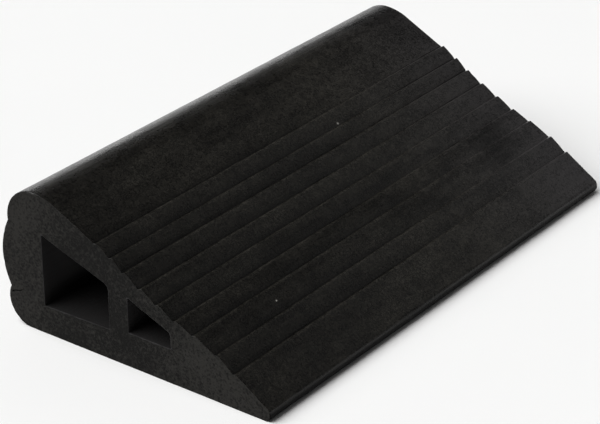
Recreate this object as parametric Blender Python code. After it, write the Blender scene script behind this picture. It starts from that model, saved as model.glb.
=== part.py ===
"""Cable protector ramp: one section of a one-piece extruded rubber ramp.

Run it with  blender --background --python part.py  or from Blender's text editor.
Units are metres.  X runs from the ramp's back to its toe, Y runs along the
extrusion and Z is up.  The origin is at the centre of the ramp's footprint, on
the surface that the ramp stands on.

The profile is drawn in the section plane with its own datum: x is measured from
the line that the ramp's heel stands against, z from the base.
"""

import math

import bmesh
import bpy
from mathutils import Matrix, Vector

OBJECT_NAME = "cable_protector_ramp"
NODE_NAME = "ramp_section"

# Overall size
LENGTH = 0.610  # along the extrusion, between the two cut ends
TOE_X = 0.3355  # from the heel line to the front of the toe
RIDGE_Z = 0.1575  # height of the top of the ridge

# Back: three lobes, each an arc, that meet in two creases
HEEL_RADIUS = 0.0285
HEEL_STAND_IN = 0.0003  # the heel's furthest point back from the heel line
BELLY_RADIUS = 0.0805
BELLY_CENTRE_Z = 0.078
BELLY_STAND_OUT = 0.0055  # how far the belly stands out behind the heel line
RIDGE_RADIUS = 0.0365
RIDGE_STAND_IN = 0.0042

# Top: a flatter arc that carries the ridge over into the upper slope
BROW_RADIUS = 0.064
UPPER_SLOPE_DEG = 28.8

# Slope: the proud upper edges of the nine steps, from the top down
STEP_CRESTS = (
    (0.1232, 0.1266),
    (0.1420, 0.1162),
    (0.1582, 0.1053),
    (0.1784, 0.0939),
    (0.1994, 0.0833),
    (0.2211, 0.0728),
    (0.2442, 0.0645),
    (0.2724, 0.0524),
    (0.2943, 0.0391),
)
LIP_RUN = 0.0034  # each crest stands this far in front of the step's foot
LIP_RISE = 0.0012  # and this far above it
CREST_RADIUS = 0.0008

# Toe: a rounded nose
TOE_TOP_Z = 0.0124  # where the slope would meet the toe's upright face
TOE_TOP_RADIUS = 0.007
TOE_FOOT_RADIUS = 0.0065

# Large channel, under the ridge
LARGE_BACK_X = 0.0494
LARGE_FRONT_X = 0.1353
LARGE_FLOOR_BACK_Z = 0.0325
LARGE_FLOOR_FRONT_Z = 0.0345
LARGE_ROOF_BACK_Z = 0.1125
LARGE_ROOF_FRONT_Z = 0.0833
LARGE_FRONT_CORNER_RADIUS = 0.009

# Small channel, under the middle of the slope
SMALL_BACK_X = 0.1603
SMALL_FRONT_X = 0.2137
SMALL_FLOOR_Z = 0.0390
SMALL_ROOF_BACK_Z = 0.0778
SMALL_ROOF_FRONT_Z = 0.0560
SMALL_FRONT_CORNER_RADIUS = 0.009

CHANNEL_CORNER_RADIUS = 0.0012

DEGREES_PER_CHORD = 7.5
RUBBER_COLOUR = (0.012, 0.012, 0.013, 1.0)
RUBBER_ROUGHNESS = 0.62
WELD_DISTANCE = 0.00001


def clear_scene():
    for thing in list(bpy.data.objects):
        bpy.data.objects.remove(thing)


def arc(centre, radius, start_deg, end_deg):
    """Points along an arc, both ends included."""
    chords = max(2, math.ceil(abs(end_deg - start_deg) / DEGREES_PER_CHORD))
    points = []
    for i in range(chords + 1):
        angle = math.radians(start_deg + (end_deg - start_deg) * i / chords)
        points.append(centre + radius * Vector((math.cos(angle), math.sin(angle))))
    return points


def angle_of(centre, point):
    """Direction from a centre to a point, in degrees from 0 to 360."""
    return math.degrees(math.atan2(point.y - centre.y, point.x - centre.x)) % 360


def back_crease(centre_a, radius_a, centre_b, radius_b):
    """The rearmost of the two points where two circles cross."""
    between = centre_b - centre_a
    distance = between.length
    along = (distance**2 + radius_a**2 - radius_b**2) / (2 * distance)
    across = math.sqrt(radius_a**2 - along**2)
    middle = centre_a + between * (along / distance)
    sideways = Vector((-between.y, between.x)) * (across / distance)
    return min((middle + sideways, middle - sideways), key=lambda p: p.x)


def fillet(before, corner, after, radius):
    """The arc that rounds off one corner of an outline."""
    corner = Vector(corner)
    to_before = (Vector(before) - corner).normalized()
    to_after = (Vector(after) - corner).normalized()
    half_angle = to_before.angle(to_after) / 2
    bisector = (to_before + to_after).normalized()
    centre = corner + bisector * (radius / math.sin(half_angle))
    setback = radius / math.tan(half_angle)
    start = angle_of(centre, corner + to_before * setback)
    end = angle_of(centre, corner + to_after * setback)
    sweep = (end - start + 180) % 360 - 180
    return arc(centre, radius, start, start + sweep)


def rounded_polygon(corners, radii):
    """A closed outline with a fillet at each corner."""
    points = []
    for i, corner in enumerate(corners):
        after = corners[(i + 1) % len(corners)]
        points += fillet(corners[i - 1], corner, after, radii[i])
    return points


def back_outline():
    """From the base, up over the heel, the belly and the ridge to the upper slope."""
    heel = Vector((HEEL_STAND_IN + HEEL_RADIUS, HEEL_RADIUS))
    belly = Vector((BELLY_RADIUS - BELLY_STAND_OUT, BELLY_CENTRE_Z))
    ridge = Vector((RIDGE_STAND_IN + RIDGE_RADIUS, RIDGE_Z - RIDGE_RADIUS))
    brow = Vector((ridge.x, RIDGE_Z - BROW_RADIUS))
    lower = back_crease(heel, HEEL_RADIUS, belly, BELLY_RADIUS)
    upper = back_crease(belly, BELLY_RADIUS, ridge, RIDGE_RADIUS)
    points = arc(heel, HEEL_RADIUS, 270, angle_of(heel, lower))
    points += arc(belly, BELLY_RADIUS, angle_of(belly, lower), angle_of(belly, upper))[1:]
    points += arc(ridge, RIDGE_RADIUS, angle_of(ridge, upper), 90)[1:]
    points += arc(brow, BROW_RADIUS, 90, 90 - UPPER_SLOPE_DEG)[1:]
    return points


def slope_corners():
    """The foot and the crest of each step in turn, from the top of the slope down."""
    corners = []
    for x, z in STEP_CRESTS:
        corners.append(Vector((x - LIP_RUN, z - LIP_RISE)))
        corners.append(Vector((x, z)))
    return corners


def outer_outline():
    """The ramp's outer profile, clockwise from the front of the heel's arc."""
    points = back_outline()
    toe_top = Vector((TOE_X, TOE_TOP_Z))
    toe_foot = Vector((TOE_X, 0.0))
    corners = slope_corners()
    for i in range(0, len(corners), 2):
        foot = corners[i]
        crest = corners[i + 1]
        after = corners[i + 2] if i + 2 < len(corners) else toe_top
        points.append(foot)
        points += fillet(foot, crest, after, CREST_RADIUS)
    points += fillet(corners[-1], toe_top, toe_foot, TOE_TOP_RADIUS)
    points += fillet(toe_top, toe_foot, points[0], TOE_FOOT_RADIUS)
    return points


def large_channel_outline():
    corners = (
        (LARGE_BACK_X, LARGE_FLOOR_BACK_Z),
        (LARGE_BACK_X, LARGE_ROOF_BACK_Z),
        (LARGE_FRONT_X, LARGE_ROOF_FRONT_Z),
        (LARGE_FRONT_X, LARGE_FLOOR_FRONT_Z),
    )
    small = CHANNEL_CORNER_RADIUS
    return rounded_polygon(corners, (small, small, LARGE_FRONT_CORNER_RADIUS, small))


def small_channel_outline():
    corners = (
        (SMALL_BACK_X, SMALL_FLOOR_Z),
        (SMALL_BACK_X, SMALL_ROOF_BACK_Z),
        (SMALL_FRONT_X, SMALL_ROOF_FRONT_Z),
        (SMALL_FRONT_X, SMALL_FLOOR_Z),
    )
    small = CHANNEL_CORNER_RADIUS
    return rounded_polygon(corners, (small, small, SMALL_FRONT_CORNER_RADIUS, small))


def rubber():
    """Solid black rubber."""
    material = bpy.data.materials.new("black_rubber")
    material.use_nodes = True
    shader = material.node_tree.nodes["Principled BSDF"]
    shader.inputs["Base Color"].default_value = RUBBER_COLOUR
    shader.inputs["Roughness"].default_value = RUBBER_ROUGHNESS
    shader.inputs["Metallic"].default_value = 0.0
    return material


def extrusion_curve(outlines, centre_x):
    """The outer profile with the channels as holes in it, drawn as one 2D curve."""
    curve = bpy.data.curves.new("ramp_profile", "CURVE")
    curve.dimensions = "2D"
    curve.fill_mode = "BOTH"
    curve.extrude = LENGTH / 2
    for outline in outlines:
        spline = curve.splines.new("POLY")
        spline.points.add(len(outline) - 1)
        for point, place in zip(spline.points, outline):
            point.co = (place.x - centre_x, place.y, 0.0, 1.0)
        spline.use_cyclic_u = True
    drawn = bpy.data.objects.new("ramp_profile", curve)
    bpy.context.scene.collection.objects.link(drawn)
    drawn.rotation_euler = (math.radians(90), 0.0, 0.0)
    bpy.context.view_layer.update()
    return drawn


def solid_from_curve(drawn, name, collection):
    """Turn a filled curve into one welded mesh with its faces pointing out."""
    evaluated = drawn.evaluated_get(bpy.context.evaluated_depsgraph_get())
    mesh = bpy.data.meshes.new_from_object(evaluated)
    mesh.name = name
    bm = bmesh.new()
    bm.from_mesh(mesh)
    bm.transform(Matrix(drawn.matrix_world))
    bmesh.ops.remove_doubles(bm, verts=bm.verts, dist=WELD_DISTANCE)
    bmesh.ops.recalc_face_normals(bm, faces=bm.faces)
    bm.to_mesh(mesh)
    bm.free()
    bpy.data.objects.remove(drawn)
    solid = bpy.data.objects.new(name, mesh)
    collection.objects.link(solid)
    return solid


def build_ramp():
    parts = bpy.data.collections.new(OBJECT_NAME)
    bpy.context.scene.collection.children.link(parts)
    outer = outer_outline()
    centre_x = (min(p.x for p in outer) + max(p.x for p in outer)) / 2
    outlines = (outer, large_channel_outline(), small_channel_outline())
    drawn = extrusion_curve(outlines, centre_x)
    ramp = solid_from_curve(drawn, NODE_NAME, parts)
    ramp.data.materials.clear()
    ramp.data.materials.append(rubber())
    ramp.data.shade_smooth()
    ramp.data.set_sharp_from_angle(angle=math.radians(20))
    return ramp


clear_scene()
build_ramp()
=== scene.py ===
"""The looks of a cable protector ramp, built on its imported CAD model.

The ramp is one extruded piece of rubber.  Its section is read from the CAD solid's cut
end, refined, and drawn out again along Y with the small faults of the real thing: step
lips that wander, crowned treads between them, slightly round and chipped cut edges, and a
short split in the near end.  Units are metres, in the CAD model's own frame.
"""

import math

import bmesh
import bpy
import numpy as np
from mathutils import Matrix, Vector, geometry


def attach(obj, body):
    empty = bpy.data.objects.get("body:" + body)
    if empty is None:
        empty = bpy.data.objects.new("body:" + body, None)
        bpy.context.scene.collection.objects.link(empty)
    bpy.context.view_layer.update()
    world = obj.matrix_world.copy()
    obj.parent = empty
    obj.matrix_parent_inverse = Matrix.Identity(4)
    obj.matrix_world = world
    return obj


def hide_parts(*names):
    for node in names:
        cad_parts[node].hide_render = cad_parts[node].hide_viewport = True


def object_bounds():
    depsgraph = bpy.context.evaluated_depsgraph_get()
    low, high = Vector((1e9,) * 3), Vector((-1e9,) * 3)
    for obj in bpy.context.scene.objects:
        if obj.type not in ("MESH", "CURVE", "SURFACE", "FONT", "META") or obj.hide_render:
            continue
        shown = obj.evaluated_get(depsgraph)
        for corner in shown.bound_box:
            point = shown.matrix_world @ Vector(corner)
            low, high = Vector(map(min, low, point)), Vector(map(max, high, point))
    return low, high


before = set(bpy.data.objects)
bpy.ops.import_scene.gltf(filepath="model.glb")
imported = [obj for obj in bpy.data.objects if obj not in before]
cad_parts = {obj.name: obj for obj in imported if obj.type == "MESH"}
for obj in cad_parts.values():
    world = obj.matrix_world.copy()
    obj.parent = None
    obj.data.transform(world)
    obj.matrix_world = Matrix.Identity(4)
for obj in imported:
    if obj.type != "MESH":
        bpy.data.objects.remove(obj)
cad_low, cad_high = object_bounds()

NODE = "ramp_section"
BODY = "root"
SKIN, CHANNEL, CUT = range(3)  # the ramp's material slots

# How finely the section and the length are divided
SAME_POINT = 0.00001
CORNER_DEG = 18  # a sharper turn of the section's outline is a corner
SMOOTH_DEG = 12  # a gentler one is a point on an arc
ALIKE = (0.6, 1.7)  # least and greatest ratio of two neighbouring chords of one arc
FINEST = 0.0004  # gap between the outline's points at a corner
COARSEST = 0.0045  # and far from one
GROWTH = 1.5  # each gap against the one before it
STATION_GAP = 0.0060  # between the sections that are drawn along the ramp
END_GAP = 0.00012  # between the last two of them at a cut end
END_GROWTH = 1.45
CAP_GAP = 0.0024  # between the points of a cut end
CAP_JITTER = 0.2  # of that gap
RIM_CLEARANCE = 0.6  # of that gap, between those points and the rims
FILL_OUTER_RIM = 1  # tells Blender's triangulation to fill what the rims enclose
TRIANGLE_TOLERANCE = 1e-7
SHARP_DEG = 38  # the mesh is shaded smooth across any gentler edge

# The steps of the slope
SLOPE_FACING = 0.3  # how far up a normal points on the slope, as opposed to the back
LIP_REACH = 0.0060  # how far down the slope a step's crest can be from its foot
CREST_WIDTH = 0.0019  # of the pale line on a crest, partly wear and partly painted highlight
FOOT_DIRT_AND_SHADE_WIDTH = 0.0022  # of the dark line at a foot, partly dirt and partly painted shade
SHADE_RUN = 0.0075  # how far up each tread the dirt and painted shade above a foot reach
SHADE_SHARE = 0.6  # how dark it is there, against the foot itself
TREAD_CROWN = 0.00045  # how far the middle of a tread stands proud
LIP_SEED = 100  # plus the step's number, for its random draws
LIP_WANDER = 0.00035  # how far a lip strays up and down the slope
WANDER_WIDTH = 0.007  # how much of the section strays with it
WANDER_LENGTHS = (0.03, 0.35)  # shortest and longest wave along the ramp
LIP_LIFT = 0.00012  # how far a lip stands up or sags
LIFT_WIDTH = 0.0022
LIFT_LENGTHS = (0.012, 0.09)
LIP_DRIFT = 0.0012  # how far up the slope the top lips stray by the far end
DRIFT_START = 0.05  # Y from which they do

# The skin and the cut ends
RIPPLE = 0.00012  # height of the faint waves all over the extrusion
RIPPLE_LENGTHS = (0.02, 0.12)
RIPPLE_SINK = 0.7  # how far the ripple is sunk into the rubber, as a share of its height
CUT_ROUND = (0.00025, 0.00060)  # least and greatest rounding of a cut edge
CUT_LENGTHS = (0.02, 0.10)
CHIPS = 22  # in each rim
CHIP_DEPTH = 0.0012
CHIP_DEPTH_SHARE = (0.2, 1)  # least and greatest, drawn for each chip
CHIP_WIDTH = 0.0022
CHIP_WIDTH_SHARE = (0.5, 1.5)
SAW_WAVE = 0.00012  # height of the waves that the saw leaves on a cut end
SAW_LENGTHS = (0.015, 0.09)
NEAR_SEED = 7  # for the random draws of each cut end
FAR_SEED = 8
NOTCH_X = -0.1250  # a larger chip in the near end's rim, on top of the ridge
NOTCH_DEPTH = 0.0024
NOTCH_WIDTH = 0.0035

# The near end's split and the shallow seam below its small channel, as (x, z) in the section
SPLIT_MOUTH = (-0.1610, 0.0342)
SPLIT_TIP = (-0.1446, 0.0417)
SPLIT_DEPTH = 0.007
SPLIT_HALF_WIDTH = 0.0008
SPLIT_TAPER = 0.7  # the share of its width that is lost by its tip
SPLIT_BEND = 0.0006  # how far it wavers to each side
SPLIT_TURN = 2.2 * math.pi  # and through how much of a wave
SPLIT_REACH = 0.025  # how far along the ramp the skin is drawn in by it
SPLIT_ROWS = 40  # of extra points across the split
SPLIT_COLUMNS = 11
SPLIT_ROW_END = 1.05  # the last row, as a share of the way from mouth to tip
SPLIT_ROW_SIDE = 2  # where a row ends, in half widths of the split
SPLIT_CLEARANCE = 0.0009  # between those points and the rest of the cut end's
SPLIT_RIM_CLEARANCE = 0.0003  # and between them and the rim
SEAM = ((0.0400, 0.0350), (0.0480, 0.0262), (0.0560, 0.0165), (0.0728, 0.0090))
SEAM_DEPTH = 0.00025
SEAM_HALF_WIDTH = 0.0008
SEAM_FACE = 0.002  # points nearer the cut end than this lie on its face

# The skin's colour is a tone from the nodes, times a tint.  Most of what changes along the
# skin changes along AWAY, and each REACH is where it starts and ends, in metres that way.
BLACK = (0.0, 0.0, 0.0)
WARM_TINT = (0.0406, 0.0377, 0.0318)
COOL_TINT = (0.0400, 0.0376, 0.0384)
SKIN_TONE = 0.23
SKIN_ROUGHNESS = 0.30
AWAY = (0.20, 1.0, 0.0)
TINT_REACH = (0.05, 0.36)
# the pale bloom and painted sheen towards the far toe
BLOOM_AND_SHEEN_REACH = (-0.25, 0.40)
BLOOM_AND_SHEEN_TONE = 0.29
# a lane of painted shade along the lower steps
LANE_SHADE_REACH = (-0.25, 0.10)
LANE_SHADE_TONES = (-0.03, -0.10)
LANE_TOP = (0.02, 0.06)  # X over which the lane of painted shade sets in
LANE_FOOT = (0.08, 0.13)  # and X over which it ends
# painted shade over the top of the ridge
RIDGE_SHADE_REACH = (-0.25, 0.25)
RIDGE_SHADE_TONES = (-0.01, -0.20)
RIDGE_SHADE_HEIGHTS = (0.1510, 0.1555)
FOOT_SHADE_REACH = (-0.05, 0.30)
FOOT_SHADE_SHARES = (0.75, -0.70)  # how much darker the feet are at the near end, as painted shade, and at the far one, where a negative share paints them paler as painted light
WEAR_AND_HIGHLIGHT_REACH = (0.05, 0.30)
FAR_WEAR_AND_HIGHLIGHT = 0.45  # the share of the crests' pale line, wear and painted highlight, that shows at the far end
WEAR_AND_HIGHLIGHT_BREAKS = (0.35, 0.65)  # the noise values between which a pale crest line breaks up
WEAR_AND_HIGHLIGHT_TONES = (0.08, 0.30)
GRAIN_SPREAD = (-0.75, 1.30)
GRAIN_FACTORS = (0.38, 2.25)
NOSE_HEIGHTS = (0.0070, 0.0135)  # the toe's nose has painted shade and is dull below the first of these
NOSE_SHADE = 0.90  # how much darker it is
NOSE_SHINE = 0.18  # and how much of its shine is left
SHINE_AWAY = (-1.0, 1.0, 0.0)
SHINE_REACH = (0.08, 0.42)  # in metres along SHINE_AWAY
SHINE_LEVELS = (0.22, 0.10)

# Painted light (+) and painted shade (-) on areas of the skin: middle, reach and tone
LIGHT_PATCH_CORE = 0.2  # the share of its reach over which a patch is at its full strength
LIGHT_PATCHES = (
    ((0.000, 0.300, 0.090), 0.110, 0.28),
    ((0.160, 0.310, 0.020), 0.135, 0.46),
    ((0.155, 0.120, 0.012), 0.075, 0.07),
    ((0.085, 0.250, 0.060), 0.080, -0.17),
    ((-0.060, -0.150, 0.130), 0.110, 0.08),
    ((-0.060, 0.110, 0.130), 0.090, 0.07),
)

# Lint on the slope: middle and radius
LINT_COLOUR = (0.40, 0.39, 0.36)
LINT_COVER = 0.85
LINT_CORE = 0.6  # the share of its radius over which a speck is at its palest
LINT = (
    ((-0.0274, 0.0769, 0.1176), 0.0025),
    ((0.0931, -0.1931, 0.0576), 0.0012),
    ((0.0356, 0.1898, 0.0870), 0.0008),
    ((-0.0152, 0.2060, 0.1130), 0.0007),
    ((-0.0256, -0.2654, 0.1183), 0.0007),
)

# The channels: grime on their floors, and painted shade at their mouths
CHANNEL_DARK = (0.0480, 0.0460, 0.0460)
CHANNEL_PALE = (0.0880, 0.0840, 0.0845)
CHANNEL_ROUGHNESS = 0.62
CHANNEL_SHINE = 0.2
GRIME_COLOUR = (0.0025, 0.0023, 0.0024)
GRIME_HEIGHTS = (0.036, 0.056)
GRIME_COVER = 0.85
MOUTH_SHADE_COLOUR = (0.0090, 0.0085, 0.0085)
MOUTH_SHADE_REACH = (0.050, 0.090)  # the squares of the Y at which a mouth's painted shade starts and is darkest
MOUTH_SHADE_COVER = 0.85

# The sawn ends, with painted shade darkest round the middle of the near one
SAWN_DARK = (0.0054, 0.0052, 0.0048)
SAWN_PALE = (0.0212, 0.0203, 0.0184)
SAWN_ROUGHNESS = 0.85
SAWN_SHINE = 0.12
FACE_SHADE_AT = (-0.035, -0.305, 0.045)
FACE_SHADE_REACH = (0.05, 0.14)
FACE_SHADE_TONES = (-0.50, 0.06)

# Light and camera
KEY_FROM = (-0.50, -0.42, 0.80)
KEY_STRENGTH = 3.7
KEY_SPREAD_DEG = 62
ROOM_LEVEL = 0.055  # the light from everywhere
ROOM_BAND = 0.40  # the pale walls round the horizon
BAND_EDGE = (0.05, 0.30)  # where they fade out, as the sine of the height, so 3 to 17 degrees
GLOWS = (  # direction, radius in degrees and strength of each soft light in the room
    ((-0.69, 0.71, -0.17), 30, 2.6),
    ((0.23, 0.85, 0.47), 24, 0.35),
)
CAMERA_PLACE = (1.3131, -1.7740, 1.1758)
CAMERA_AZIMUTH_DEG = 36.98
CAMERA_ELEVATION_DEG = 27.06
CAMERA_ROLL_DEG = -0.28
LENS_MM = 138.5
SENSOR_MM = 36.0
FLOOR_SIZE = 60
FLOOR_DARK = (0.95, 0.95, 0.945)
FLOOR_PALE = (0.97, 0.97, 0.965)
FLOOR_ROUGHNESS = 0.7
FLOOR_SHINE = 0.2


# ---------------------------------------------------------------- the section


def turning(loop):
    """Signed turn of a closed outline at each of its points, in degrees."""
    before = loop - np.roll(loop, 1, axis=0)
    after = np.roll(loop, -1, axis=0) - loop
    cross = before[:, 0] * after[:, 1] - before[:, 1] * after[:, 0]
    return np.degrees(np.arctan2(cross, np.sum(before * after, axis=1)))


def signed_area(loop):
    x, z = loop.T
    return 0.5 * np.sum(x * np.roll(z, -1) - np.roll(x, -1) * z)


def read_outlines(node):
    """The closed outlines of the CAD solid's near end: the outer one, then the channels.

    The outer outline runs anticlockwise as seen from the near end and the channels run
    clockwise, so the rubber is always on the left.
    """
    bm = bmesh.new()
    bm.from_mesh(node.data)
    bmesh.ops.remove_doubles(bm, verts=bm.verts, dist=SAME_POINT)
    near_y = min(v.co.y for v in bm.verts)
    next_to = {}
    for edge in bm.edges:
        at_end = all(abs(v.co.y - near_y) < SAME_POINT for v in edge.verts)
        beside_wall = any(abs(face.normal.y) < 0.5 for face in edge.link_faces)
        if at_end and beside_wall:
            a, b = edge.verts
            next_to.setdefault(a, []).append(b)
            next_to.setdefault(b, []).append(a)
    loops = []
    while next_to:
        here = next(iter(next_to))
        loop = []
        while here is not None:
            loop.append((here.co.x, here.co.z))
            here = next((v for v in next_to.pop(here) if v in next_to), None)
        loops.append(np.array(loop))
    bm.free()
    loops.sort(key=lambda loop: -abs(signed_area(loop)))
    wanted = [1] + [-1] * (len(loops) - 1)
    return [lp if signed_area(lp) * sign > 0 else lp[::-1] for lp, sign in zip(loops, wanted)]


def graded(length, first, last):
    """Fractions of a length whose gaps grow from first at its start and last at its end."""
    head, tail = [], []
    left = length
    while left > 0:
        if first <= last:
            head.append(first)
            left -= first
            first = min(first * GROWTH, COARSEST)
        else:
            tail.append(last)
            left -= last
            last = min(last * GROWTH, COARSEST)
    steps = np.array(head + tail[::-1])
    return np.concatenate(([0.0], np.cumsum(steps)[:-1])) / steps.sum()


def alike(length_a, length_b):
    """True for neighbouring chords of about one length, as on one arc."""
    return ALIKE[0] < length_a / length_b < ALIKE[1]


def mirrored(tangent, heading):
    """The tangent at the other end of an arc's chord."""
    return 2 * heading * np.dot(heading, tangent) - tangent


def end_tangents(heading, length, turn, i):
    """The tangents at the ends of a chord, which bend it into the arc it is part of."""
    before, after = (i - 1) % len(length), (i + 1) % len(length)
    leave = arrive = None
    if turn[i] < SMOOTH_DEG and alike(length[before], length[i]):
        leave = heading[before] + heading[i]
    if turn[after] < SMOOTH_DEG and alike(length[after], length[i]):
        arrive = heading[after] + heading[i]
    if leave is None and arrive is None:
        leave = arrive = heading[i]
    elif leave is None:
        leave = mirrored(arrive, heading[i])
    elif arrive is None:
        arrive = mirrored(leave, heading[i])
    return [tangent / np.linalg.norm(tangent) * length[i] for tangent in (leave, arrive)]


def end_gaps(length, turn, i):
    """The gaps between points wanted at the start and the end of a chord."""
    before, after = (i - 1) % len(length), (i + 1) % len(length)
    gaps = []
    for corner, neighbour in ((i, before), (after, after)):
        gap = COARSEST if turn[corner] < CORNER_DEG else FINEST
        gaps.append(min(gap, max(FINEST, length[neighbour])))
    return gaps


def curve_point(start, end, leave, arrive, t):
    """A point on the cubic curve between two points with these tangents."""
    here = (2 * t**3 - 3 * t**2 + 1) * start + (3 * t**2 - 2 * t**3) * end
    return here + (t**3 - 2 * t**2 + t) * leave + (t**3 - t**2) * arrive


def refine(loop):
    """The outline with more points: close together near corners, and along true arcs."""
    turn = np.abs(turning(loop))
    ahead = np.roll(loop, -1, axis=0)
    length = np.linalg.norm(ahead - loop, axis=1)
    heading = (ahead - loop) / length[:, None]
    points = []
    for i in range(len(loop)):
        leave, arrive = end_tangents(heading, length, turn, i)
        for t in graded(length[i], *end_gaps(length, turn, i)):
            points.append(curve_point(loop[i], ahead[i], leave, arrive, t))
    return np.array(points)


def outward(loop):
    """Unit normals of the outline, out of the rubber."""
    along = np.roll(loop, -1, axis=0) - np.roll(loop, 1, axis=0)
    along /= np.linalg.norm(along, axis=1)[:, None]
    return np.stack((along[:, 1], -along[:, 0]), axis=1)


def run_length(loop):
    """Distance along the outline from its first point to each point."""
    gaps = np.linalg.norm(np.diff(loop, axis=0), axis=1)
    return np.concatenate(([0.0], np.cumsum(gaps)))


def find_steps(loop):
    """(crest, foot) indices of the slope's steps, from the toe up to the ridge.

    A foot is a corner that turns inward on the slope.  Its crest is the point that stands
    furthest out of the line between that foot and the next one down.
    """
    turn = turning(loop)
    facing = outward(loop)
    inward = (turn < -CORNER_DEG) & (facing[:, 1] > SLOPE_FACING)
    distance = run_length(loop)
    steps = []
    for foot in np.flatnonzero(inward):
        tail = [i for i in range(foot) if 0 < distance[foot] - distance[i] < LIP_REACH]
        base = loop[tail[0]]
        across = loop[foot] - base
        out = np.array((across[1], -across[0])) / np.linalg.norm(across)
        steps.append((max(tail, key=lambda i: np.dot(loop[i] - base, out)), foot))
    return steps


# ---------------------------------------------------------------- faults of the extrusion


def waves(rng, lengths, count=9):
    """A smooth random function of one distance, about -1 to 1, with these wavelengths."""
    wavelength = np.exp(rng.uniform(math.log(lengths[0]), math.log(lengths[1]), count))
    phase = rng.uniform(0, 2 * math.pi, count)

    def wave(distance):
        angle = np.multiply.outer(distance, 2 * math.pi / wavelength) + phase
        return np.sin(angle).sum(axis=-1) / math.sqrt(2 * count)

    return wave


def ripples(rng, lengths, count=28):
    """A smooth random function of two distances, about -1 to 1, with these wavelengths."""
    wavelength = np.exp(rng.uniform(math.log(lengths[0]), math.log(lengths[1]), count))
    phase = rng.uniform(0, 2 * math.pi, count)
    heading = rng.uniform(0, math.pi, count)
    u_rate = 2 * math.pi * np.cos(heading) / wavelength
    v_rate = 2 * math.pi * np.sin(heading) / wavelength

    def ripple(u, v):
        angle = np.multiply.outer(u, u_rate) + np.multiply.outer(v, v_rate) + phase
        return np.sin(angle).sum(axis=-1) / math.sqrt(2 * count)

    return ripple


def bump_at(distance, width):
    """1 at no distance, falling to nothing over about twice the width."""
    return np.exp(-((distance / width) ** 2))


def smooth_step(value, low, high):
    """0 below low and 1 above high, with a smooth rise between."""
    t = np.clip((value - low) / (high - low), 0, 1)
    return t * t * (3 - 2 * t)


def stations():
    """Places along Y of the drawn sections, closer together towards the two cut ends."""
    half = (cad_high.y - cad_low.y) / 2
    gaps = [END_GAP]
    while gaps[-1] < STATION_GAP:
        gaps.append(gaps[-1] * END_GROWTH)
    offsets = np.concatenate(([0.0], np.cumsum(gaps)))
    inner = np.linspace(half - offsets[-1], 0, round((half - offsets[-1]) / STATION_GAP))
    one_side = np.concatenate((half - offsets[:-1], inner))
    return np.concatenate((-one_side, one_side[-2::-1]))


def step_faults(loop, steps, y):
    """How far each point slides up the slope and stands out, its crest wear and painted
    highlight, and the dirt and painted shade at its feet.
    """
    distance = run_length(loop)
    shape = (len(y), len(loop))
    slide, lift = np.zeros(shape), np.zeros(shape)
    wear, dirt_and_shade = np.zeros(len(loop)), np.zeros(len(loop))
    half = (cad_high.y - cad_low.y) / 2
    drift = smooth_step(y, DRIFT_START, half)
    for number, (crest, foot) in enumerate(steps):
        rng = np.random.default_rng(LIP_SEED + number)
        height = (number + 1) / len(steps)
        wander = LIP_WANDER * waves(rng, WANDER_LENGTHS)(y) + LIP_DRIFT * height * drift
        rise = LIP_LIFT * waves(rng, LIFT_LENGTHS)(y)
        middle = (distance[crest] + distance[foot]) / 2
        slide += np.outer(wander, bump_at(distance - middle, WANDER_WIDTH))
        lift += np.outer(rise, bump_at(distance - distance[crest], LIFT_WIDTH))
        # the pale line at each crest: wear and a painted highlight
        wear = np.maximum(wear, bump_at(distance - distance[crest], CREST_WIDTH))
        # the dark line at each foot and above it: dirt and painted shade
        dirt_and_shade = np.maximum(dirt_and_shade, bump_at(distance - distance[foot], FOOT_DIRT_AND_SHADE_WIDTH))
        above = distance - distance[foot]
        shade = np.where(above > 0, bump_at(above, SHADE_RUN), 0)
        dirt_and_shade = np.maximum(dirt_and_shade, SHADE_SHARE * shade)
        if number:
            bottom = steps[number - 1][1]
            t = (distance - distance[bottom]) / (distance[crest] - distance[bottom])
            lift += TREAD_CROWN * np.clip(4 * t * (1 - t), 0, None)
    return slide, lift, wear, dirt_and_shade


def split_depth(x, z):
    """How deep the split in the near end is at each point of the section."""
    mouth, tip = np.array(SPLIT_MOUTH), np.array(SPLIT_TIP)
    along = tip - mouth
    reach = np.linalg.norm(along)
    along /= reach
    u = (x - mouth[0]) * along[0] + (z - mouth[1]) * along[1]
    v = (z - mouth[1]) * along[0] - (x - mouth[0]) * along[1]
    v = v - SPLIT_BEND * np.sin(u / reach * SPLIT_TURN)
    t = np.clip(u / reach, 0, 1)
    half_width = SPLIT_HALF_WIDTH * (1 - SPLIT_TAPER * t)
    depth = SPLIT_DEPTH * np.sqrt(np.clip(4 * t * (1 - t), 0, 1))
    depth = depth * np.clip(1 - (np.abs(v) / half_width) ** 2, 0, 1)
    return np.where((u > 0) & (u < reach), depth, 0.0)


def seam_depth(x, z):
    """How deep the shallow seam in the near end is at each point of the section."""
    nearest = np.full(np.shape(x), np.inf)
    for (x0, z0), (x1, z1) in zip(SEAM, SEAM[1:]):
        run = np.array((x1 - x0, z1 - z0))
        t = np.clip(((x - x0) * run[0] + (z - z0) * run[1]) / np.dot(run, run), 0, 1)
        nearest = np.minimum(nearest, np.hypot(x - x0 - t * run[0], z - z0 - t * run[1]))
    return SEAM_DEPTH * bump_at(nearest, SEAM_HALF_WIDTH)


def press_in(place, near_y):
    """Sink the split and the seam into the near end's points."""
    fade = np.clip(1 - (place[:, 1] - near_y) / SPLIT_REACH, 0, 1) ** 2
    place[:, 1] += split_depth(place[:, 0], place[:, 2]) * fade
    on_face = np.abs(place[:, 1] - near_y) < SEAM_FACE
    place[:, 1] += np.where(on_face, seam_depth(place[:, 0], place[:, 2]), 0)


# ---------------------------------------------------------------- the ramp's mesh


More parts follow.
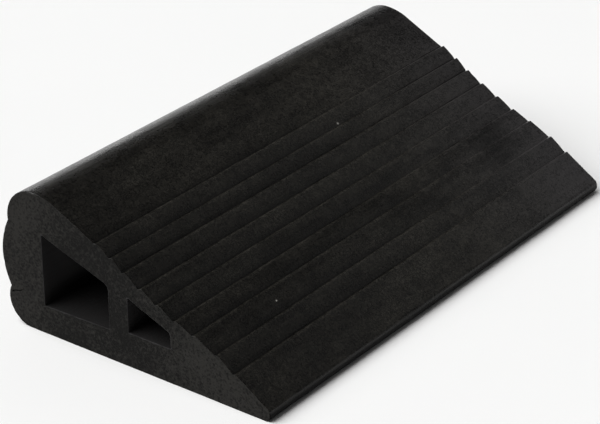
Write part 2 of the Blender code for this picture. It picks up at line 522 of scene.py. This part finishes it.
def chipped(rng, rounding, distance):
    """The rounding of one cut edge along an outline, with its chips."""
    radius = rounding.copy()
    for place in rng.uniform(0, distance[-1], CHIPS):
        depth = CHIP_DEPTH * rng.uniform(*CHIP_DEPTH_SHARE) ** 2
        width = CHIP_WIDTH * rng.uniform(*CHIP_WIDTH_SHARE)
        radius += depth * bump_at(distance - place, width)
    return radius


def drawn_in(radius, from_end):
    """How far each station is drawn in by an edge rounding, by its distance from the end."""
    short = np.clip(radius[None, :] - from_end[:, None], 0, None)
    return radius[None, :] - np.sqrt(np.clip(radius[None, :] ** 2 - short**2, 0, None))


def draw_out(loop, number, steps, y):
    """The outline's points at every station, with the faults of the extrusion on them."""
    rng = np.random.default_rng(number)
    facing = outward(loop)
    along = np.stack((-facing[:, 1], facing[:, 0]), axis=1)
    distance = run_length(loop)
    slide, lift, wear, dirt_and_shade = step_faults(loop, steps, y)
    ripple = ripples(rng, RIPPLE_LENGTHS)(y[:, None], distance[None, :])
    lift += RIPPLE * (ripple - RIPPLE_SINK * ripple.max())
    from_end = (cad_high.y - cad_low.y) / 2 - np.abs(y)
    rounding = np.interp(waves(rng, CUT_LENGTHS)(distance), (-1, 1), CUT_ROUND)
    for side in (-1, 1):
        radius = chipped(rng, rounding, distance)
        if number == 0 and side < 0:
            on_top = bump_at(loop[:, 0] - NOTCH_X, NOTCH_WIDTH) * (facing[:, 1] > 0)
            radius += NOTCH_DEPTH * on_top
        here = np.sign(y) == side
        lift[here] -= drawn_in(radius, from_end[here])
    x = loop[:, 0] + lift * facing[:, 0] + slide * along[:, 0]
    z = loop[:, 1] + lift * facing[:, 1] + slide * along[:, 1]
    points = np.stack((x, np.broadcast_to(y[:, None], x.shape), z), axis=-1)
    return points, wear, dirt_and_shade


def inside(loop, points):
    """True for the points that an outline encloses."""
    x, z = points.T
    hit = np.zeros(len(points), bool)
    for (x0, z0), (x1, z1) in zip(loop, np.roll(loop, -1, axis=0)):
        if z0 != z1:
            hit ^= ((z0 > z) != (z1 > z)) & (x < (x1 - x0) * (z - z0) / (z1 - z0) + x0)
    return hit


def clear_of(points, others, gap):
    """Those of the points that are further than the gap from all the others."""
    nearest = [np.min(np.sum((others - point) ** 2, axis=1)) for point in points]
    return points[np.array(nearest) > gap**2]


def cap_points(rims, rng):
    """Points spread over a cut end between its outlines."""
    low, high = rims[0].min(axis=0), rims[0].max(axis=0)
    columns = np.arange(low[0], high[0], CAP_GAP)
    rows = np.arange(low[1], high[1], CAP_GAP * math.sqrt(0.75))
    x, z = np.meshgrid(columns, rows)
    x[1::2] += CAP_GAP / 2
    grid = np.stack((x.ravel(), z.ravel()), axis=1)
    grid += rng.uniform(-CAP_JITTER, CAP_JITTER, grid.shape) * CAP_GAP
    keep = inside(rims[0], grid)
    for rim in rims[1:]:
        keep &= ~inside(rim, grid)
    return clear_of(grid[keep], np.concatenate(rims), RIM_CLEARANCE * CAP_GAP)


def split_points(rim):
    """Extra points for the near end, in rows along the split and just past its tip."""
    mouth, tip = np.array(SPLIT_MOUTH), np.array(SPLIT_TIP)
    along = tip - mouth
    across = np.array((-along[1], along[0])) / np.linalg.norm(along)
    points = []
    for t in np.linspace(0.0, SPLIT_ROW_END, SPLIT_ROWS):
        for offset in np.linspace(-SPLIT_ROW_SIDE, SPLIT_ROW_SIDE, SPLIT_COLUMNS):
            aside = offset * SPLIT_HALF_WIDTH + SPLIT_BEND * math.sin(t * SPLIT_TURN)
            points.append(mouth + along * t + across * aside)
    points = np.array(points)
    return clear_of(points[inside(rim, points)], rim, SPLIT_RIM_CLEARANCE)


def cap_faces(rims, extra):
    """Triangles over a cut end, as indices into the rims' points followed by the extra ones."""
    corners = np.concatenate(rims + [extra])
    edges = []
    start = 0
    for rim in rims:
        count = len(rim)
        edges += [(start + i, start + (i + 1) % count) for i in range(count)]
        start += count
    places = [Vector(p) for p in corners]
    found = geometry.delaunay_2d_cdt(places, edges, [], FILL_OUTER_RIM, TRIANGLE_TOLERANCE)
    found_faces, came_from = found[2], found[3]
    triangles = np.array([[came_from[i][0] for i in face] for face in found_faces])
    middles = corners[triangles].mean(axis=1)
    solid = ~np.logical_or.reduce([inside(rim, middles) for rim in rims[1:]])
    return triangles[solid]


class Shell:
    """The ramp's points and faces, as they are gathered."""

    def __init__(self):
        self.points, self.wear, self.dirt_and_shade = [], [], []
        self.faces, self.kinds = [], []
        self.count = 0

    def add_points(self, points, wear, dirt_and_shade):
        """Take these points in, with their crest wear and painted highlight and their dirt and
        painted shade, and return their numbers.
        """
        self.points.append(points)
        self.wear.append(wear)
        self.dirt_and_shade.append(dirt_and_shade)
        self.count += len(points)
        return np.arange(self.count - len(points), self.count)

    def add_faces(self, corners, kind):
        self.faces += corners.tolist()
        self.kinds += [kind] * len(corners)


def add_wall(shell, loop, number, y):
    """Add the skin or a channel's wall, and return the points and numbers of its two rims."""
    outer = number == 0
    points, wear, dirt_and_shade = draw_out(loop, number, find_steps(loop) if outer else [], y)
    wear, dirt_and_shade = np.tile(wear, len(y)), np.tile(dirt_and_shade, len(y))
    ids = shell.add_points(points.reshape(-1, 3), wear, dirt_and_shade).reshape(len(y), len(loop))
    ahead = np.roll(ids, -1, axis=1)
    quads = np.stack((ids[:-1], ahead[:-1], ahead[1:], ids[1:]), axis=-1)
    shell.add_faces(quads.reshape(-1, 4), SKIN if outer else CHANNEL)
    return [(points[end][:, ::2], ids[end]) for end in (0, -1)]


def add_cut_end(shell, rims, y, seed):
    """Close one end of the ramp with its sawn face."""
    rng = np.random.default_rng(seed)
    outlines = [points for points, ids in rims]
    extra = cap_points(outlines, rng)
    if y < 0:
        slit = split_points(outlines[0])
        extra = np.concatenate((clear_of(extra, slit, SPLIT_CLEARANCE), slit))
    relief = ripples(rng, SAW_LENGTHS)(extra[:, 0], extra[:, 1])
    depth = SAW_WAVE * (relief.max() - relief)
    sawn = np.stack((extra[:, 0], y - np.sign(y) * depth, extra[:, 1]), axis=1)
    none = np.zeros(len(extra))
    numbers = np.concatenate([ids for points, ids in rims] + [shell.add_points(sawn, none, none)])
    shell.add_faces(numbers[cap_faces(outlines, extra)], CUT)


def ramp_mesh():
    """The whole ramp as one closed mesh: skin, channel walls and both cut ends."""
    y = stations()
    shell = Shell()
    near_rims, far_rims = [], []
    for number, outline in enumerate(read_outlines(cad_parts[NODE])):
        near, far = add_wall(shell, refine(outline), number, y)
        near_rims.append(near)
        far_rims.append(far)
    add_cut_end(shell, near_rims, y[0], NEAR_SEED)
    add_cut_end(shell, far_rims, y[-1], FAR_SEED)
    place = np.concatenate(shell.points)
    press_in(place, y[0])
    place = np.clip(place, np.array(cad_low), np.array(cad_high))
    mesh = bpy.data.meshes.new("ramp_rubber")
    mesh.from_pydata(place.tolist(), [], shell.faces)
    mesh.polygons.foreach_set("material_index", shell.kinds)
    # the crests' wear and painted highlight, and the feet's dirt and painted shade, for the
    # skin's colour
    for name, values in (("wear", shell.wear), ("dirt_and_shade", shell.dirt_and_shade)):
        attribute = mesh.attributes.new(name, "FLOAT", "POINT")
        attribute.data.foreach_set("value", np.concatenate(values).astype(np.float32))
    return mesh


# ---------------------------------------------------------------- materials


class Graph:
    """A node tree with a short call for each kind of node used here."""

    def __init__(self, tree, coordinate):
        self.tree = tree
        self.place = self.add("ShaderNodeTexCoord").outputs[coordinate]

    def add(self, kind, **settings):
        node = self.tree.nodes.new(kind)
        for name, value in settings.items():
            setattr(node, name, value)
        return node

    def feed(self, socket, value):
        """Link a node's output to the socket, or set the socket to a plain value."""
        if isinstance(value, bpy.types.NodeSocket):
            self.tree.links.new(value, socket)
        else:
            socket.default_value = value

    def vector(self, operation, value, output):
        """The place of the shaded point, taken through one vector operation."""
        node = self.add("ShaderNodeVectorMath", operation=operation)
        self.feed(node.inputs[0], self.place)
        self.feed(node.inputs[1], value)
        return node.outputs[output]

    def stretched(self, x, y, z):
        """The place for a noise of scale 1 with this many features per metre along each axis."""
        return self.vector("MULTIPLY", (x, y, z), "Vector")

    def along(self, direction):
        """How far the shaded point lies along a direction."""
        return self.vector("DOT_PRODUCT", direction, "Value")

    def away_from(self, point):
        return self.vector("DISTANCE", point, "Value")

    def noise(self, scale, detail=3.0, rough=0.5, vector=None):
        """A noise with about this many features per metre."""
        node = self.add("ShaderNodeTexNoise")
        self.feed(node.inputs["Vector"], vector or self.place)
        self.feed(node.inputs["Scale"], scale)
        self.feed(node.inputs["Detail"], detail)
        self.feed(node.inputs["Roughness"], rough)
        return node.outputs["Fac"]

    def cells(self, scale):
        node = self.add("ShaderNodeTexVoronoi")
        self.feed(node.inputs["Vector"], self.place)
        self.feed(node.inputs["Scale"], scale)
        return node.outputs["Distance"]

    def attribute(self, name):
        return self.add("ShaderNodeAttribute", attribute_name=name).outputs["Fac"]

    def span(self, value, low, high, to_low=0.0, to_high=1.0, kind="SMOOTHSTEP"):
        """The value mapped from low..high to another range, smoothly and within it."""
        node = self.add("ShaderNodeMapRange", interpolation_type=kind, clamp=kind != "LINEAR")
        self.feed(node.inputs["Value"], value)
        self.feed(node.inputs["From Min"], low)
        self.feed(node.inputs["From Max"], high)
        self.feed(node.inputs["To Min"], to_low)
        self.feed(node.inputs["To Max"], to_high)
        return node.outputs["Result"]

    def sway(self, value, reach):
        """A noise value spread over about -reach to reach."""
        return self.span(value, 0.3, 0.7, -reach, reach, "LINEAR")

    def fold(self, operation, values):
        """All the values taken together, two by two, by one kind of maths node."""
        total = values[0]
        for value in values[1:]:
            node = self.add("ShaderNodeMath", operation=operation)
            self.feed(node.inputs[0], total)
            self.feed(node.inputs[1], value)
            total = node.outputs[0]
        return total

    def sum(self, *values):
        return self.fold("ADD", values)

    def product(self, *values):
        return self.fold("MULTIPLY", values)

    def less(self, value):
        """What the value leaves of 1."""
        return self.sum(1.0, self.product(value, -1.0))

    def blend(self, share, first, second):
        """The first colour, with this share of it replaced by the second."""
        node = self.add("ShaderNodeMix", data_type="RGBA", clamp_factor=True)
        self.feed(node.inputs["Factor"], share)
        for socket, colour in (("A", first), ("B", second)):
            plain = isinstance(colour, tuple)
            self.feed(node.inputs[socket], (*colour, 1.0) if plain else colour)
        return node.outputs["Result"]

    def bump(self, height, depth, below=None):
        """The surface normal with this relief on top of the one below."""
        node = self.add("ShaderNodeBump")
        self.feed(node.inputs["Height"], height)
        self.feed(node.inputs["Distance"], depth)
        if below is not None:
            self.feed(node.inputs["Normal"], below)
        return node.outputs["Normal"]


class Surface(Graph):
    """A material's nodes, in the object's own coordinates, which are in metres."""

    def __init__(self, name):
        self.material = bpy.data.materials.new(name)
        self.material.use_nodes = True
        super().__init__(self.material.node_tree, "Object")

    def finish(self, colour, roughness, specular, normal):
        shader = self.tree.nodes["Principled BSDF"]
        self.feed(shader.inputs["Base Color"], colour)
        self.feed(shader.inputs["Roughness"], roughness)
        self.feed(shader.inputs["Specular IOR Level"], specular)
        self.feed(shader.inputs["Normal"], normal)
        return self.material


class Skin(Surface):
    """The parts of the extruded skin: shared noises, and what makes it paler or darker, painted
    light and shade among it.

    A tone is a share of the full tint, so 0 is black.
    """

    def __init__(self, name):
        super().__init__(name)
        self.farness = self.along(AWAY)
        self.height = self.along((0, 0, 1))
        self.streaks = self.noise(1.0, 4.0, 0.6, self.stretched(240, 9, 240))
        self.smears = self.noise(1.0, 3.0, 0.55, self.stretched(60, 16, 60))
        self.patches = self.noise(14)
        self.clouds = self.noise(110, 2.0)
        self.mottle = self.noise(330, 2.0)
        self.grain = self.noise(800, 2.0, 0.6)
        # where the toe's nose gets its painted shade and is made dull
        self.low = self.span(self.height, *NOSE_HEIGHTS, 1.0, 0.0)

    def bloom_and_sheen(self):
        """The pale bloom and painted sheen, smeared, that grow towards the far toe."""
        growth = self.span(self.farness, *BLOOM_AND_SHEEN_REACH)
        smeared = self.sum(1.0, self.sway(self.smears, 0.35))
        return self.product(growth, smeared, BLOOM_AND_SHEEN_TONE)

    def lane_shade(self):
        """A lane of painted shade along the lower steps, darkest along its far half."""
        across = self.along((1, 0, 0))
        lane = self.product(self.span(across, *LANE_TOP), self.span(across, *LANE_FOOT, 1.0, 0.0))
        return self.product(lane, self.span(self.farness, *LANE_SHADE_REACH, *LANE_SHADE_TONES))

    def ridge_top_shade(self):
        """Painted shade over the top of the ridge, darkest towards the far end."""
        top = self.span(self.height, *RIDGE_SHADE_HEIGHTS)
        return self.product(top, self.span(self.farness, *RIDGE_SHADE_REACH, *RIDGE_SHADE_TONES))

    def light_patch(self, place, reach, tone):
        """A paler patch of painted light round a place, or a darker one of painted shade."""
        return self.span(self.away_from(place), LIGHT_PATCH_CORE * reach, reach, tone, 0.0)

    def foot_dirt_and_shade(self):
        """Dirt and painted shade at the feet of the steps, which give way to paler feet, painted
        light, at the far end.
        """
        share = self.span(self.farness, *FOOT_SHADE_REACH, *FOOT_SHADE_SHARES)
        return self.product(self.attribute("dirt_and_shade"), share)

    def worn_and_highlighted_crests(self):
        """The pale, broken line along each lip, partly wear and partly painted highlight, fainter
        at the far end.
        """
        breaks = self.noise(90, 3.0, 0.7, self.stretched(1, 0.35, 1))
        broken = self.span(breaks, *WEAR_AND_HIGHLIGHT_BREAKS, *WEAR_AND_HIGHLIGHT_TONES)
        broken = self.product(broken, self.span(self.farness, *WEAR_AND_HIGHLIGHT_REACH, 1.0, FAR_WEAR_AND_HIGHLIGHT))
        return self.product(self.attribute("wear"), broken)

    def tone(self):
        """How pale the rubber is, before its fine grain."""
        tone = self.sum(SKIN_TONE, self.bloom_and_sheen(), self.sway(self.smears, 0.09))
        tone = self.sum(tone, self.sway(self.streaks, 0.04), self.sway(self.patches, 0.06))
        tone = self.sum(tone, self.lane_shade(), self.ridge_top_shade())
        # patches of painted light and painted shade
        tone = self.sum(tone, *[self.light_patch(*row) for row in LIGHT_PATCHES])
        # dirt and painted shade at the feet, painted light on them at the far end
        tone = self.product(tone, self.less(self.foot_dirt_and_shade()))
        # paler crest lines: wear and a painted highlight
        tone = self.sum(tone, self.worn_and_highlighted_crests())
        # painted shade on the toe's nose
        return self.product(tone, self.less(self.product(self.low, NOSE_SHADE)))

    def fineness(self):
        """The fine grain, as a factor on the tone."""
        fine = self.sum(self.sway(self.clouds, 0.24), self.sway(self.mottle, 0.42))
        fine = self.sum(fine, self.sway(self.grain, 1.10))
        return self.span(fine, *GRAIN_SPREAD, *GRAIN_FACTORS)

    def with_lint(self, colour):
        """The colour with the pale specks of lint on it."""
        for point, radius in LINT:
            speck = self.span(self.away_from(point), LINT_CORE * radius, radius, LINT_COVER, 0.0)
            colour = self.blend(speck, colour, LINT_COLOUR)
        return colour

    def relief(self):
        """The surface normal over the die lines and the grain."""
        normal = self.bump(self.streaks, 0.00040)
        normal = self.bump(self.mottle, 0.00016, normal)
        return self.bump(self.grain, 0.00020, normal)

    def roughness(self):
        rough = self.sum(SKIN_ROUGHNESS, self.sway(self.patches, 0.02))
        return self.sum(rough, self.sway(self.mottle, 0.04), self.sway(self.smears, 0.03))

    def shine(self):
        """Glossier over the near end and the toe than at the far top, and dull on the nose."""
        shine = self.span(self.along(SHINE_AWAY), *SHINE_REACH, *SHINE_LEVELS)
        return self.product(shine, self.span(self.low, 0, 1, 1.0, NOSE_SHINE))


def extruded_skin():
    """Charcoal rubber: fine grain, die lines along the extrusion, bloom and painted sheen towards
    the far toe, and painted light and shade over the skin.
    """
    skin = Skin("extruded_rubber_skin")
    tint = skin.blend(skin.span(skin.farness, *TINT_REACH), WARM_TINT, COOL_TINT)
    colour = skin.blend(skin.product(skin.tone(), skin.fineness()), BLACK, tint)
    return skin.finish(skin.with_lint(colour), skin.roughness(), skin.shine(), skin.relief())


def channel_wall():
    """The duller, rougher rubber inside the channels, with painted shade at their mouths."""
    g = Surface("channel_rubber")
    streaks = g.noise(1.0, 3.0, 0.5, g.stretched(300, 2, 300))
    grain = g.noise(700, 4.0, 0.6)
    tone = g.sum(0.5, g.sway(streaks, 0.10), g.sway(g.noise(25), 0.12), g.sway(grain, 0.25))
    colour = g.blend(tone, CHANNEL_DARK, CHANNEL_PALE)
    grime = g.span(g.along((0, 0, 1)), *GRIME_HEIGHTS, GRIME_COVER, 0.0)
    colour = g.blend(grime, colour, GRIME_COLOUR)
    # painted shade: the walls darker towards the channels' mouths
    depth = g.along((0, 1, 0))
    mouth = g.span(g.product(depth, depth), *MOUTH_SHADE_REACH, 0.0, MOUTH_SHADE_COVER)
    colour = g.blend(mouth, colour, MOUTH_SHADE_COLOUR)
    normal = g.bump(grain, 0.0002, g.bump(streaks, 0.0004))
    return g.finish(colour, g.sum(CHANNEL_ROUGHNESS, g.sway(grain, 0.08)), CHANNEL_SHINE, normal)


def cut_face():
    """Sawn rubber: matte and a little greyer, with its granules, faint saw marks and painted
    shade on the near end.
    """
    g = Surface("sawn_rubber")
    grain = g.noise(800, 4.0, 0.65)
    mottle = g.noise(300, 3.0, 0.6)
    patches = g.noise(19)
    marks = g.noise(1.0, 3.0, 0.6, g.stretched(30, 1, 520))
    tone = g.sum(g.product(g.cells(380), 0.5), g.product(grain, 0.5))
    share = g.sum(g.span(tone, 0.2, 0.7), g.sway(patches, 0.24), g.sway(mottle, 0.50))
    # painted shade, darkest round the middle of the near end
    share = g.sum(share, g.span(g.away_from(FACE_SHADE_AT), *FACE_SHADE_REACH, *FACE_SHADE_TONES))
    colour = g.blend(share, SAWN_DARK, SAWN_PALE)
    normal = g.bump(marks, 0.0003)
    normal = g.bump(g.sum(tone, mottle), 0.0003, normal)
    return g.finish(colour, g.sum(SAWN_ROUGHNESS, g.sway(grain, 0.07)), SAWN_SHINE, normal)


# ---------------------------------------------------------------- the ramp


def make_ramp():
    """Build the ramp's one visible piece, which stands for the CAD solid."""
    mesh = ramp_mesh()
    bm = bmesh.new()
    bm.from_mesh(mesh)
    bmesh.ops.recalc_face_normals(bm, faces=bm.faces)
    bm.to_mesh(mesh)
    bm.free()
    mesh.shade_smooth()
    mesh.set_sharp_from_angle(angle=math.radians(SHARP_DEG))
    for material in (extruded_skin(), channel_wall(), cut_face()):
        mesh.materials.append(material)
    ramp = bpy.data.objects.new("ramp_rubber", mesh)
    bpy.context.scene.collection.objects.link(ramp)
    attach(ramp, BODY)
    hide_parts(NODE)


# ---------------------------------------------------------------- studio


def make_floor():
    """A wide pale floor, faintly uneven in tone."""
    bpy.ops.mesh.primitive_plane_add(size=FLOOR_SIZE)
    floor = bpy.context.object
    floor.name = "floor"
    g = Surface("studio_floor")
    colour = g.blend(g.noise(3.0, 2.0), FLOOR_DARK, FLOOR_PALE)
    normal = g.bump(g.noise(600), 0.0001)
    floor.data.materials.append(g.finish(colour, FLOOR_ROUGHNESS, FLOOR_SHINE, normal))


def make_sky():
    """A dim studio with pale walls round the horizon and two large soft lights."""
    world = bpy.data.worlds.new("studio")
    bpy.context.scene.world = world
    world.use_nodes = True
    g = Graph(world.node_tree, "Generated")  # which is the direction looked in
    level = g.sum(ROOM_LEVEL, g.span(g.along((0, 0, 1)), *BAND_EDGE, ROOM_BAND, 0.0))
    for direction, radius, strength in GLOWS:
        nearness = g.along(Vector(direction).normalized())
        edge = math.cos(math.radians(radius))
        level = g.sum(level, g.span(nearness, edge, 1, 0, strength))
    background = world.node_tree.nodes["Background"]
    g.feed(background.inputs["Strength"], level)
    g.feed(background.inputs["Color"], (1.0, 1.0, 1.0, 1.0))


def make_key():
    """One broad, soft main light from above the ramp's back and near end."""
    lamp = bpy.data.lights.new("key", "SUN")
    lamp.energy = KEY_STRENGTH
    lamp.angle = math.radians(KEY_SPREAD_DEG)
    key = bpy.data.objects.new("key", lamp)
    key.rotation_euler = Vector(KEY_FROM).to_track_quat("Z", "Y").to_euler()
    bpy.context.scene.collection.objects.link(key)


def make_camera():
    """The camera at the photograph's viewing angle."""
    lens = bpy.data.cameras.new("camera")
    lens.lens = LENS_MM
    lens.sensor_width = SENSOR_MM
    camera = bpy.data.objects.new("camera", lens)
    turn = Matrix.Rotation(math.radians(CAMERA_AZIMUTH_DEG), 4, "Z")
    tilt = Matrix.Rotation(math.radians(90 - CAMERA_ELEVATION_DEG), 4, "X")
    roll = Matrix.Rotation(math.radians(CAMERA_ROLL_DEG), 4, "Z")
    camera.matrix_world = Matrix.Translation(CAMERA_PLACE) @ turn @ tilt @ roll
    bpy.context.scene.collection.objects.link(camera)
    bpy.context.scene.camera = camera


make_ramp()
make_floor()
make_sky()
make_key()
make_camera()
bpy.context.scene.view_settings.view_transform = "Standard"
